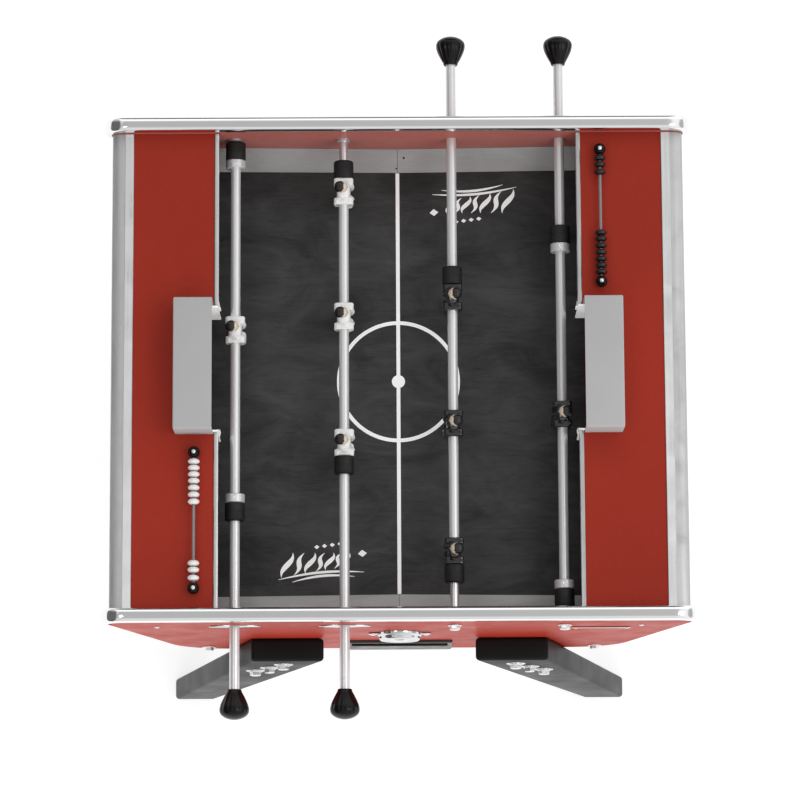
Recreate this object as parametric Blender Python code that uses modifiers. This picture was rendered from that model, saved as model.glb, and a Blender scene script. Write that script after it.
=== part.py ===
"""Compact two-player foosball table with four telescopic rods, one object for each physical piece.

Metres, +Z up. X runs along the table's length and Y across it, so the rods lie along Y.
The origin is on the floor under the middle of the pitch.
"""

import math

import bmesh
import bpy
from mathutils import Matrix

# Heights above the floor
RAIL_Z = 0.904
DECK_TOP = 0.887
ROD_Z = 0.843
PITCH_TOP = 0.763
HULL_BOTTOM = 0.505
GAP = 0.0003

# Side panels: a hull outline with slanted ends and round lower corners
PANEL_Y = 0.3945
PANEL_THICK = 0.022
PANEL_TOP = 0.8947
HULL_HALF_TOP = 0.466
HULL_RADIUS = 0.100
HULL_FLARE = math.radians(16.2)
INNER_WALL = PANEL_Y - PANEL_THICK / 2
OUTER_WALL = PANEL_Y + PANEL_THICK / 2
INSIDE = INNER_WALL - GAP

# Top rails
RAIL_LENGTH = 0.940
RAIL_WIDTH = 0.0235
RAIL_HEIGHT = 0.018
RAIL_CORNER_R = 0.030
RAIL_TURN_BOTTOM = 0.866
RAIL_TURN_THICK = 0.0055

# Ends of the cabinet
END_INSET = 0.013
END_THICK = 0.015
DECK_THICK = 0.018
DECK_INNER = 0.2931
DECK_OUTER = 0.4218
NOSING_BOTTOM = 0.865

# Pitch and its side ramps
PITCH_HALF_X = 0.3020
PITCH_THICK = 0.012
RAMP_FOOT_MID = 0.347
RAMP_FOOT_END = 0.350
RAMP_TOP_MID = 0.776
RAMP_TOP_END = 0.793

# Goals
HOOD_INNER = 0.294
HOOD_OUTER = 0.355
HOOD_HALF = 0.1053
HOOD_TOP = 0.9413
HOOD_WALL = 0.003
MOUTH_HALF = 0.102
CHEEK_INNER = 0.0985
WALL_INNER = 0.3023
WALL_OUTER = 0.3083
CHEEK_FACE = 0.2862
CHEEK_BOTTOM = 0.787
TRIM_INNER = 0.2856
TRIM_OUTER = 0.2928
TRIM_TOP = 0.889

# Rods
ROD_SPACING = 0.174
TUBE_R = 0.008
TUBE_BORE_R = 0.0074
TUBE_HOLE_R = 0.0092
BAR_R = 0.0070
BAR_HOLE_R = 0.0078
BAR_REACH = 0.343
FLANGE_R = 0.011
FLANGE_THICK = 0.004
BUMPER_R = 0.016
BUMPER_LENGTH = 0.029
BUMPER_BORE_R = TUBE_R + GAP
COLLAR_R = 0.0158
COLLAR_LENGTH = 0.014
KNOB_START = 0.505
KNOB_LENGTH = 0.049
KNOB_SOCKET = 0.022
KEEPER_SPAN = 0.617
ATTACK_SPAN = 0.511
PLAYER_PITCH = 0.205

# Legs
LEG_THICK = 0.0375
LEG_TOP = 0.6635
LEG_TOP_INNER = 0.1222
LEG_TOP_OUTER = 0.2410
LEG_FOOT_INNER = 0.3323
LEG_FOOT_OUTER = 0.4040
LEG_ROUNDING = 0.006

# Scorers: a wire with sliding beads between two posts
SCORER_X = 0.3235
SCORER_POSTS = (0.136, 0.352)
WIRE_Z = 0.899
WIRE_R = 0.0026
POST_BALL_R = 0.0095
BEAD_R = 0.0095
BEAD_PITCH = 0.0105
BEAD_BORE_R = 0.003

# Ball tray and service cup on the near panel
TRAY_HALF = 0.082
TRAY_BOTTOM = 0.530
TRAY_TOP = 0.622
TRAY_LIP = 0.578
TRAY_DEPTH = 0.105
TRAY_WALL = 0.003
TRAY_FLANGE = 0.0045
CUP_Z = 0.735
CUP_R = 0.036

# One row for each rod: name, place along X, side of the handle, far end of the bumpers, team
RODS = (
    ("white_keeper", -1.5 * ROD_SPACING, -1, 0.3784, "white"),
    ("white_attack", -0.5 * ROD_SPACING, -1, 0.3468, "white"),
    ("black_attack", 0.5 * ROD_SPACING, 1, 0.1718, "black"),
    ("black_keeper", 1.5 * ROD_SPACING, 1, 0.2386, "black"),
)

COLOURS = {
    "red_laminate": ((0.33, 0.032, 0.020), 0.35, 0.0),
    "aluminium": ((0.55, 0.55, 0.56), 0.35, 1.0),
    "chrome": ((0.75, 0.75, 0.76), 0.08, 1.0),
    "pitch": ((0.032, 0.032, 0.032), 0.55, 0.0),
    "ramp_grey": ((0.26, 0.26, 0.26), 0.5, 0.0),
    "hood_grey": ((0.43, 0.43, 0.43), 0.4, 0.0),
    "board": ((0.05, 0.05, 0.05), 0.6, 0.0),
    "black_plastic": ((0.012, 0.012, 0.012), 0.25, 0.0),
    "rubber": ((0.015, 0.015, 0.015), 0.6, 0.0),
    "leg_black": ((0.04, 0.04, 0.04), 0.5, 0.0),
    "white_paint": ((0.8, 0.8, 0.79), 0.2, 0.0),
    "black_paint": ((0.01, 0.01, 0.01), 0.15, 0.0),
}


def clear_scene():
    for obj in list(bpy.data.objects):
        bpy.data.objects.remove(obj, do_unlink=True)


def collection(name):
    made = bpy.data.collections.new(name)
    bpy.context.scene.collection.children.link(made)
    return made


def material(name, kind):
    colour, roughness, metallic = COLOURS[kind]
    made = bpy.data.materials.new(name + "_material")
    made.use_nodes = True
    shader = made.node_tree.nodes["Principled BSDF"]
    shader.inputs["Base Color"].default_value = (*colour, 1.0)
    shader.inputs["Roughness"].default_value = roughness
    shader.inputs["Metallic"].default_value = metallic
    made.diffuse_color = (*colour, 1.0)
    return made


def add_part(name, mesh, kind, location=(0.0, 0.0, 0.0), rotation=(0.0, 0.0, 0.0)):
    """A named piece of the table, with a material of its own."""
    obj = bpy.data.objects.new(name, mesh)
    PARTS.objects.link(obj)
    obj.location = location
    obj.rotation_euler = rotation
    if not mesh.materials:
        mesh.materials.append(None)
    obj.material_slots[0].link = "OBJECT"
    obj.material_slots[0].material = material(name, kind)
    return obj


def add_cutter(name, mesh, location=(0.0, 0.0, 0.0), rotation=(0.0, 0.0, 0.0)):
    obj = bpy.data.objects.new(name, mesh)
    CUTTERS.objects.link(obj)
    obj.location = location
    obj.rotation_euler = rotation
    obj.hide_render = True
    obj.display_type = "WIRE"
    return obj


def combine(obj, other, operation):
    modifier = obj.modifiers.new(other.name, "BOOLEAN")
    modifier.operation = operation
    modifier.solver = "EXACT"
    modifier.object = other


def round_edges(obj, width, segments=2, angle=30):
    modifier = obj.modifiers.new("rounded_edges", "BEVEL")
    modifier.width = width
    modifier.segments = segments
    modifier.limit_method = "ANGLE"
    modifier.angle_limit = math.radians(angle)


def box_mesh(name, low, high):
    """A box between two corners given in the table's own frame."""
    mesh = bpy.data.meshes.new(name)
    bm = bmesh.new()
    bmesh.ops.create_cube(bm, size=1.0)
    size = [b - a for a, b in zip(low, high)]
    middle = [(a + b) / 2 for a, b in zip(low, high)]
    bmesh.ops.transform(bm, matrix=Matrix.LocRotScale(middle, None, size), verts=bm.verts)
    bm.to_mesh(mesh)
    bm.free()
    return mesh


def cylinder_mesh(name, radius, depth, segments=16):
    mesh = bpy.data.meshes.new(name)
    bm = bmesh.new()
    bmesh.ops.create_cone(
        bm, cap_ends=True, segments=segments, radius1=radius, radius2=radius, depth=depth
    )
    bm.to_mesh(mesh)
    bm.free()
    return mesh


def evaluated_mesh(obj, name):
    """The object's mesh with its modifiers in it, welded, and the object itself removed."""
    graph = bpy.context.evaluated_depsgraph_get()
    mesh = bpy.data.meshes.new_from_object(obj.evaluated_get(graph))
    mesh.name = name
    bm = bmesh.new()
    bm.from_mesh(mesh)
    bmesh.ops.remove_doubles(bm, verts=bm.verts, dist=1e-5)
    bm.to_mesh(mesh)
    bm.free()
    bpy.data.objects.remove(obj, do_unlink=True)
    return mesh


def plate_mesh(name, outline, thickness):
    """A flat plate: a closed outline in local X and Y, as thick as stated along local Z."""
    curve = bpy.data.curves.new(name, "CURVE")
    curve.dimensions = "2D"
    curve.fill_mode = "BOTH"
    curve.extrude = thickness / 2
    spline = curve.splines.new("POLY")
    spline.points.add(len(outline) - 1)
    for point, (x, y) in zip(spline.points, outline):
        point.co = (x, y, 0.0, 1.0)
    spline.use_cyclic_u = True
    obj = bpy.data.objects.new(name, curve)
    CUTTERS.objects.link(obj)
    return evaluated_mesh(obj, name)


def turned_mesh(name, profile, steps=16, closed=False):
    """A turned solid: the profile's (radius, height) points run down its outer side."""
    mesh = bpy.data.meshes.new(name)
    bm = bmesh.new()
    points = [bm.verts.new((radius, 0.0, height)) for radius, height in profile]
    for start, end in zip(points, points[1:]):
        bm.edges.new((start, end))
    if closed:
        bm.edges.new((points[-1], points[0]))
    bm.to_mesh(mesh)
    bm.free()
    obj = bpy.data.objects.new(name, mesh)
    CUTTERS.objects.link(obj)
    screw = obj.modifiers.new("turn", "SCREW")
    screw.steps = steps
    screw.render_steps = steps
    screw.use_merge_vertices = True
    screw.merge_threshold = 1e-5
    made = evaluated_mesh(obj, name)
    made.shade_smooth()
    made.set_sharp_from_angle(angle=math.radians(40))
    return made


def arc(centre, radius, start, end, count):
    """Points along an arc, with its angles in degrees."""
    angles = [math.radians(start + (end - start) * i / count) for i in range(count + 1)]
    return [(centre[0] + radius * math.cos(a), centre[1] + radius * math.sin(a)) for a in angles]


def upright(side=1):
    """Turns local X, Y, Z to world X, Z and -Y, for a plate that stands along the table."""
    return (math.pi / 2, 0.0, 0.0 if side > 0 else math.pi)


def flare_x(inset, height):
    """Where the slanted end of the hull stands at this height, moved in by inset."""
    straight = HULL_HALF_TOP - (PANEL_TOP - height) * math.tan(HULL_FLARE)
    return straight - inset / math.cos(HULL_FLARE)


def hull_edge(inset, top):
    """The right half of the hull outline, moved in by inset, from this height to the flat bottom."""
    centre_z = HULL_BOTTOM + HULL_RADIUS
    centre_x = flare_x(HULL_RADIUS, centre_z)
    lower = arc((centre_x, centre_z), HULL_RADIUS - inset, -math.degrees(HULL_FLARE), -90, 10)
    return [(flare_x(inset, top), top)] + lower


def side_panels():
    """Hull-shaped panels, stepped in at their top corners for the rails' turned ends."""
    right = [(flare_x(RAIL_TURN_THICK, PANEL_TOP), PANEL_TOP)]
    right += [(flare_x(RAIL_TURN_THICK, RAIL_TURN_BOTTOM), RAIL_TURN_BOTTOM)]
    right += hull_edge(0.0, RAIL_TURN_BOTTOM)
    outline = right + [(-x, z) for x, z in reversed(right)]
    for side, place in ((-1, "near"), (1, "far")):
        mesh = plate_mesh("side_panel_" + place, outline, PANEL_THICK)
        panel = add_part("side_panel_" + place, mesh, "red_laminate", (0, side * PANEL_Y, 0), upright())
        for name, x, handle, _, _ in RODS:
            radius = TUBE_HOLE_R if handle == side else BAR_HOLE_R
            hole = cylinder_mesh("rod_hole", radius, 3 * PANEL_THICK)
            cutter = add_cutter("hole_" + name + "_" + place, hole, (x, side * PANEL_Y, ROD_Z), upright())
            combine(panel, cutter, "DIFFERENCE")
        if side < 0:
            low = (-TRAY_HALF - GAP, -OUTER_WALL - 0.01, TRAY_BOTTOM - GAP)
            high = (TRAY_HALF + GAP, -INNER_WALL + 0.01, TRAY_TOP + GAP)
            combine(panel, add_cutter("tray_opening", box_mesh("tray_opening", low, high)), "DIFFERENCE")


def top_rails():
    """Rails that turn down round the panels' top corners at both ends."""
    low_z = PANEL_TOP + GAP
    end_z = RAIL_TURN_BOTTOM + GAP
    centre = (RAIL_LENGTH / 2 - RAIL_CORNER_R, low_z + RAIL_HEIGHT - RAIL_CORNER_R)
    inset = RAIL_TURN_THICK - GAP
    right = [(flare_x(inset, low_z), low_z), (flare_x(inset, end_z), end_z)]
    right += [(flare_x(-0.0060, end_z), end_z)]
    right += arc(centre, RAIL_CORNER_R, -16, 90, 10)
    outline = right + [(-x, z) for x, z in reversed(right)]
    for side, place in ((-1, "near"), (1, "far")):
        mesh = plate_mesh("top_rail_" + place, outline, RAIL_WIDTH)
        rail = add_part("top_rail_" + place, mesh, "chrome", (0, side * PANEL_Y, 0), upright())
        round_edges(rail, 0.0025, 2, 50)


def end_panels():
    outer = hull_edge(END_INSET, NOSING_BOTTOM - GAP)
    inner = hull_edge(END_INSET + END_THICK, NOSING_BOTTOM - GAP)
    outline = outer + inner[::-1]
    for side, place in ((-1, "left"), (1, "right")):
        mesh = plate_mesh("end_panel_" + place, [(side * x, z) for x, z in outline], 2 * INSIDE)
        add_part("end_panel_" + place, mesh, "red_laminate", (0, 0, 0), upright())


def cabinet_floor():
    half = hull_edge(0.0, PANEL_TOP)[-1][0] - GAP
    low = (-half, -INSIDE, HULL_BOTTOM + END_INSET)
    high = (half, INSIDE, HULL_BOTTOM + END_INSET + END_THICK)
    floor = add_part("cabinet_floor", box_mesh("cabinet_floor", low, high), "board")
    low = (-TRAY_HALF - GAP, -INSIDE - 0.01, HULL_BOTTOM)
    high = (TRAY_HALF + GAP, -OUTER_WALL + TRAY_DEPTH + GAP, high[2] + 0.01)
    combine(floor, add_cutter("tray_notch", box_mesh("tray_notch", low, high)), "DIFFERENCE")


def end_decks():
    for side, place in ((-1, "left"), (1, "right")):
        edges = sorted((side * DECK_INNER, side * DECK_OUTER))
        mesh = box_mesh(
            "end_deck_" + place,
            (edges[0], -INSIDE, DECK_TOP - DECK_THICK),
            (edges[1], INSIDE, DECK_TOP),
        )
        deck = add_part("end_deck_" + place, mesh, "red_laminate")
        notch = sorted((side * (DECK_INNER - 0.01), side * (HOOD_OUTER - HOOD_WALL - GAP)))
        cut = box_mesh(
            "goal_notch", (notch[0], -MOUTH_HALF, DECK_TOP - 0.05), (notch[1], MOUTH_HALF, DECK_TOP + 0.05)
        )
        combine(deck, add_cutter("goal_notch_" + place, cut), "DIFFERENCE")


def end_nosings():
    """Rounded extrusions between the two rails' turned ends."""
    inner = DECK_OUTER + GAP
    reach = PANEL_Y - RAIL_WIDTH / 2 - GAP
    outline = [(inner, NOSING_BOTTOM), (inner, TRIM_TOP), (0.4360, TRIM_TOP), (0.4370, 0.8874)]
    outline += arc((0.4370, 0.8674), 0.020, 75, 0, 5)
    outline += [(0.4570, NOSING_BOTTOM)]
    for side, place in ((-1, "left"), (1, "right")):
        mesh = plate_mesh("end_nosing_" + place, [(side * x, z) for x, z in outline], 2 * reach)
        add_part("end_nosing_" + place, mesh, "aluminium", (0, 0, 0), upright())


def goal_hoods():
    for side, place in ((-1, "left"), (1, "right")):
        edges = sorted((side * HOOD_INNER, side * HOOD_OUTER))
        base = DECK_TOP + GAP
        mesh = box_mesh("goal_hood_" + place, (edges[0], -HOOD_HALF, base), (edges[1], HOOD_HALF, HOOD_TOP))
        hood = add_part("goal_hood_" + place, mesh, "hood_grey")
        hollow = sorted((side * (HOOD_INNER - 0.02), side * (HOOD_OUTER - HOOD_WALL)))
        half = HOOD_HALF - HOOD_WALL
        low = (hollow[0], -half, base - 0.02)
        high = (hollow[1], half, HOOD_TOP - HOOD_WALL)
        cut = box_mesh("hood_hollow", low, high)
        combine(hood, add_cutter("hood_hollow_" + place, cut), "DIFFERENCE")


def goal_walls():
    """The boards under the decks, at the ends of the pitch, notched for the goal mouths."""
    top = DECK_TOP - DECK_THICK - GAP
    bottom = PITCH_TOP - 0.025
    sill = PITCH_TOP - 0.008
    outline = [(-INSIDE, bottom), (INSIDE, bottom), (INSIDE, top), (MOUTH_HALF, top)]
    outline += [(MOUTH_HALF, sill), (-MOUTH_HALF, sill), (-MOUTH_HALF, top), (-INSIDE, top)]
    middle = (WALL_INNER + WALL_OUTER) / 2
    for side, place in ((-1, "left"), (1, "right")):
        mesh = plate_mesh("goal_wall_" + place, outline, WALL_OUTER - WALL_INNER)
        turn = (math.pi / 2, 0.0, math.pi / 2)
        add_part("goal_wall_" + place, mesh, "board", (side * middle, 0, 0), turn)


def goal_trims():
    """Strips on the decks' inner edges, joined by the cheeks, posts and sill of the goal mouth."""
    sill = PITCH_TOP - 0.008 + GAP
    top = TRIM_TOP + 0.0005
    for side, place in ((-1, "left"), (1, "right")):
        trim = None
        half = MOUTH_HALF - GAP
        pieces = [("sill", WALL_INNER, WALL_OUTER, -half, half, sill, sill + 0.0062)]
        for end in (-1, 1):
            cheek = sorted((end * CHEEK_INNER, end * (MOUTH_HALF - GAP)))
            strip = sorted((end * (MOUTH_HALF - 0.003), end * (INSIDE - 0.0002)))
            pieces.append(("post", WALL_INNER, WALL_OUTER, *cheek, sill, CHEEK_BOTTOM + 0.004))
            pieces.append(("cheek", CHEEK_FACE, WALL_OUTER, *cheek, CHEEK_BOTTOM, top))
            pieces.append(("strip", TRIM_INNER, TRIM_OUTER, *strip, TRIM_TOP - 0.009 + GAP, TRIM_TOP))
        for index, (kind, x0, x1, y0, y1, z0, z1) in enumerate(pieces):
            edges = sorted((side * x0, side * x1))
            mesh = box_mesh(kind, (edges[0], y0, z0), (edges[1], y1, z1))
            if trim is None:
                trim = add_part("goal_trim_" + place, mesh, "aluminium")
            else:
                combine(trim, add_cutter(f"trim_{kind}_{place}_{index}", mesh), "UNION")


def playfield():
    low = (-PITCH_HALF_X, -INSIDE, PITCH_TOP - PITCH_THICK)
    high = (PITCH_HALF_X, INSIDE, PITCH_TOP)
    add_part("playfield", box_mesh("playfield", low, high), "pitch")


def side_ramps():
    """Long wedges between the pitch and the side panels, highest in the four corners."""
    base = PITCH_TOP + GAP
    lip = base + 0.0008
    sections = []
    for x in (-PITCH_HALF_X, 0.0, PITCH_HALF_X):
        foot = RAMP_FOOT_END if x else RAMP_FOOT_MID
        top = RAMP_TOP_END if x else RAMP_TOP_MID
        sections.append([(x, foot, base), (x, INSIDE, base), (x, INSIDE, top), (x, foot, lip)])
    for side, place in ((-1, "near"), (1, "far")):
        mesh = bpy.data.meshes.new("side_ramp_" + place)
        bm = bmesh.new()
        rings = [[bm.verts.new((x, side * y, z)) for x, y, z in ring] for ring in sections]
        for ring, following in zip(rings, rings[1:]):
            for i in range(4):
                j = (i + 1) % 4
                bm.faces.new((ring[i], ring[j], following[j], following[i]))
        bm.faces.new(rings[0])
        bm.faces.new(rings[-1])
        bmesh.ops.recalc_face_normals(bm, faces=bm.faces)
        bm.to_mesh(mesh)
        bm.free()
        add_part("side_ramp_" + place, mesh, "ramp_grey")


def legs():
    outline = [
        (LEG_TOP_INNER, LEG_TOP),
        (LEG_TOP_OUTER, LEG_TOP),
        (LEG_FOOT_OUTER, 0.0),
        (LEG_FOOT_INNER, 0.0),
    ]
    y = OUTER_WALL + GAP + LEG_THICK / 2
    for side_y, row in ((-1, "near"), (1, "far")):
        for side_x, place in ((-1, "left"), (1, "right")):
            name = f"leg_{row}_{place}"
            mesh = plate_mesh(name, [(side_x * x, z) for x, z in outline], LEG_THICK)
            leg = add_part(name, mesh, "leg_black", (0, side_y * y, 0), upright())
            round_edges(leg, LEG_ROUNDING)


def bumper_profile():
    half = BUMPER_LENGTH / 2
    edge = 0.0025
    return [
        (BUMPER_BORE_R, half),
        (BUMPER_R - edge, half),
        (BUMPER_R, half - edge),
        (BUMPER_R, edge - half),
        (BUMPER_R - edge, -half),
        (BUMPER_BORE_R, -half),
    ]


def tube_profile(wall_end, handle_end, collars):
    """A tube from its open end near the wall to the end in the knob, with its shaft collars on it."""
    profile = [(TUBE_BORE_R, handle_end), (TUBE_R, handle_end)]
    for middle in sorted(collars, reverse=True):
        top = middle + COLLAR_LENGTH / 2
        bottom = middle - COLLAR_LENGTH / 2
        profile += [(TUBE_R, top), (COLLAR_R, top), (COLLAR_R, bottom), (TUBE_R, bottom)]
    return profile + [(TUBE_R, wall_end), (TUBE_BORE_R, wall_end)]


def knob_mesh():
    socket_r = TUBE_R + GAP
    profile = [(0.0, KNOB_LENGTH), (0.0080, 0.0487), (0.0155, 0.0465), (0.0208, 0.0415), (0.0229, 0.0345)]
    profile += [(0.0222, 0.0265), (0.0182, 0.0140), (0.0140, 0.0045), (0.0120, 0.0)]
    profile += [(socket_r, 0.0), (socket_r, KNOB_SOCKET + GAP), (0.0, KNOB_SOCKET + GAP)]
    return turned_mesh("knob", profile, 18)


def inner_bar_mesh():
    """The fixed bar inside a rod: local Z runs from the wall it is bolted to in to the pitch."""
    inside = PANEL_THICK / 2 + GAP
    washer = 0.002
    profile = [(0.0, inside + BAR_REACH), (BAR_R, inside + BAR_REACH)]
    profile += [(BAR_R, inside + FLANGE_THICK), (FLANGE_R, inside + FLANGE_THICK), (FLANGE_R, inside)]
    profile += [(BAR_R, inside), (BAR_R, -inside), (FLANGE_R, -inside)]
    profile += [(FLANGE_R, -inside - washer), (0.0, -inside - washer)]
    bar = bpy.data.objects.new("bar", turned_mesh("bar", profile, 12))
    CUTTERS.objects.link(bar)
    head = add_cutter("bar_head", cylinder_mesh("bar_head", 0.0085, 0.007, 6))
    head.location = (0, 0, -inside - washer - 0.003)
    combine(bar, head, "UNION")
    bpy.context.view_layer.update()
    made = evaluated_mesh(bar, "inner_bar")
    bpy.data.objects.remove(head, do_unlink=True)
    return made


def player_mesh():
    """A figure clamped on a tube along local Y, its foot down and its toe towards +X."""
    clamp = box_mesh("figure", (-0.0158, -0.0212, -0.0185), (0.0158, 0.0212, 0.0140))
    body = bpy.data.objects.new("figure", clamp)
    CUTTERS.objects.link(body)
    round_edges(body, 0.004, 1)
    helpers = []

    def join(name, mesh, operation, location=(0.0, 0.0, 0.0), rotation=(0.0, 0.0, 0.0)):
        helper = add_cutter(name, mesh, location, rotation)
        combine(body, helper, operation)
        helpers.append(helper)

    torso_mesh = box_mesh("figure_torso", (-0.0105, -0.0135, 0.0), (0.0105, 0.0135, 0.0225))
    join("figure_torso", torso_mesh, "UNION")
    legs_mesh = box_mesh("figure_legs", (-0.0080, -0.0095, -0.0600), (0.0080, 0.0095, -0.0100))
    join("figure_legs", legs_mesh, "UNION")
    foot_mesh = box_mesh("figure_foot", (-0.0100, -0.0098, -0.0740), (0.0125, 0.0098, -0.0560))
    join("figure_foot", foot_mesh, "UNION")
    neck = cylinder_mesh("figure_neck", 0.0055, 0.014, 10)
    join("figure_neck", neck, "UNION", (-0.0040, 0.0, 0.0255))
    head = bpy.data.meshes.new("figure_head")
    bm = bmesh.new()
    bmesh.ops.create_uvsphere(bm, u_segments=10, v_segments=6, radius=0.0100)
    bm.to_mesh(head)
    bm.free()
    join("figure_head", head, "UNION", (-0.0040, 0.0, 0.0375))
    bore = cylinder_mesh("figure_bore", TUBE_R + GAP + 0.0001, 0.06)
    join("figure_bore", bore, "DIFFERENCE", rotation=(math.pi / 2, 0.0, 0.0))
    bpy.context.view_layer.update()
    made = evaluated_mesh(body, "player")
    for helper in helpers:
        bpy.data.objects.remove(helper, do_unlink=True)
    return made


def rods():
    knob = knob_mesh()
    bar = inner_bar_mesh()
    figure = player_mesh()
    bumper = turned_mesh("bumper", bumper_profile(), closed=True)
    for name, x, handle, far_end, team in RODS:
        keeper = name.endswith("keeper")
        span = KEEPER_SPAN if keeper else ATTACK_SPAN
        middle = far_end - span / 2
        along = (handle * -math.pi / 2, 0.0, 0.0)
        wall_end = -handle * middle + span / 2
        reach = (span - BUMPER_LENGTH) / 2
        collars = []
        if keeper:
            offset = reach - (BUMPER_LENGTH + COLLAR_LENGTH) / 2 - GAP
            collars = [handle * middle - offset, handle * middle + offset]
        profile = tube_profile(-wall_end, KNOB_START + KNOB_SOCKET, collars)
        tube = turned_mesh("rod_tube_" + name, profile, closed=True)
        add_part("rod_tube_" + name, tube, "chrome", (x, 0, ROD_Z), along)
        add_part("knob_" + name, knob, "black_plastic", (x, handle * KNOB_START, ROD_Z), along)
        add_part("inner_bar_" + name, bar, "chrome", (x, -handle * PANEL_Y, ROD_Z), along)
        for place, side in (("far", 1), ("near", -1)):
            location = (x, middle + side * reach, ROD_Z)
            add_part(f"bumper_{name}_{place}", bumper, "rubber", location, (math.pi / 2, 0, 0))
        turn = (0.0, 0.0, 0.0 if team == "white" else math.pi)
        places = (("", 0),) if keeper else (("_far", 1), ("_middle", 0), ("_near", -1))
        for suffix, step in places:
            location = (x, middle + step * PLAYER_PITCH, ROD_Z)
            add_part(f"player_{name}{suffix}", figure, team + "_paint", location, turn)


def scorer_frame(name, side):
    """Two ball-headed posts and the wire between them."""
    near, far = SCORER_POSTS
    length = far - near
    wire = cylinder_mesh(name, WIRE_R, length, 8)
    middle = (side * SCORER_X, side * (near + far) / 2, WIRE_Z)
    frame = add_part(name, wire, "chrome", middle, (math.pi / 2, 0, 0))
    foot = DECK_TOP + GAP - WIRE_Z
    profile = arc((0.0, 0.0), POST_BALL_R, 90, -60, 6)
    profile = [(0.0, POST_BALL_R)] + profile[1:] + [(0.0048, foot), (0.0, foot)]
    post = turned_mesh(name + "_post", profile, 10)
    for index, y in enumerate(SCORER_POSTS):
        cutter = add_cutter(f"{name}_post_{index}", post, (side * SCORER_X, side * y, WIRE_Z))
        combine(frame, cutter, "UNION")


def bead_group_mesh(name, count):
    """A row of lens-shaped beads that slide together, held by their hubs."""
    waist = 0.0052
    rim = 0.0012
    length = count * BEAD_PITCH - GAP
    profile = [(BEAD_BORE_R, length / 2), (waist, length / 2)]
    for index in range(count):
        middle = length / 2 - (index + 0.5) * length / count
        profile += [(BEAD_R, middle + rim), (BEAD_R, middle - rim)]
        profile += [(waist, middle - length / count / 2)]
    profile += [(BEAD_BORE_R, -length / 2)]
    return turned_mesh(name, profile, 12, closed=True)


def scorers():
    """The left scorer is white and runs to the near side, the right one black and to the far side."""
    low, high = SCORER_POSTS
    for side, place, team in ((-1, "left", "white"), (1, "right", "black")):
        scorer_frame("scorer_frame_" + place, side)
        for label, count, start, step in (("spare", 7, low, 1), ("scored", 3, high, -1)):
            clear = POST_BALL_R + 0.0010 + count * BEAD_PITCH / 2
            y = side * (start + step * clear)
            mesh = bead_group_mesh(f"beads_{label}_{place}", count)
            location = (side * SCORER_X, y, WIRE_Z)
            add_part(f"beads_{label}_{place}", mesh, team + "_paint", location, (math.pi / 2, 0, 0))


def ball_tray():
    """A moulded pocket let into the near panel, open behind, with a lip that holds the balls."""
    low = (-TRAY_HALF, -OUTER_WALL - 0.001, TRAY_BOTTOM)
    high = (TRAY_HALF, -OUTER_WALL + TRAY_DEPTH, TRAY_TOP)
    tray = add_part("ball_tray", box_mesh("ball_tray", low, high), "black_plastic")
    face = -OUTER_WALL - GAP
    low = (-TRAY_HALF - 0.0045, face - TRAY_FLANGE, TRAY_BOTTOM - 0.008)
    high = (TRAY_HALF + 0.0045, face, TRAY_TOP + 0.005)
    combine(tray, add_cutter("tray_flange", box_mesh("tray_flange", low, high)), "UNION")
    inner = TRAY_HALF - TRAY_WALL
    low = (-inner, -OUTER_WALL + TRAY_WALL, TRAY_BOTTOM + TRAY_WALL)
    high = (inner, -OUTER_WALL + TRAY_DEPTH + 0.01, TRAY_TOP - TRAY_WALL)
    combine(tray, add_cutter("tray_hollow", box_mesh("tray_hollow", low, high)), "DIFFERENCE")
    low = (-inner, -OUTER_WALL - 0.02, TRAY_LIP)
    high = (inner, -OUTER_WALL + 0.02, TRAY_TOP - TRAY_WALL)
    combine(tray, add_cutter("tray_mouth", box_mesh("tray_mouth", low, high)), "DIFFERENCE")


def service_cup():
    """A round chrome cup with two screw ears; local Z points out of the near panel."""
    profile = [(0.0, 0.0040), (0.0170, 0.0045), (0.0265, 0.0125), (0.0300, 0.0130)]
    profile += [(0.0330, 0.0110), (CUP_R, 0.0030), (CUP_R, 0.0), (0.0, 0.0)]
    cup = turned_mesh("service_cup", profile, 20)
    face = -OUTER_WALL - GAP
    part = add_part("service_cup", cup, "chrome", (0, face, CUP_Z), (math.pi / 2, 0, 0))
    low = (-0.0505, face - 0.0025, CUP_Z - 0.008)
    high = (0.0505, face, CUP_Z + 0.008)
    combine(part, add_cutter("cup_ears", box_mesh("cup_ears", low, high)), "UNION")


clear_scene()
PARTS = collection("foosball_table")
CUTTERS = collection("cutters")
side_panels()
top_rails()
end_panels()
cabinet_floor()
end_decks()
end_nosings()
goal_hoods()
goal_walls()
goal_trims()
playfield()
side_ramps()
legs()
rods()
scorers()
ball_tray()
service_cup()
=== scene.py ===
"""The looks of the compact two-player foosball table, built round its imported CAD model.

Metres, +Z up, in the model's own frame. X runs along the table, Y across it.
"""

import math

import bmesh
import bpy
from mathutils import Matrix, Vector

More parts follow.
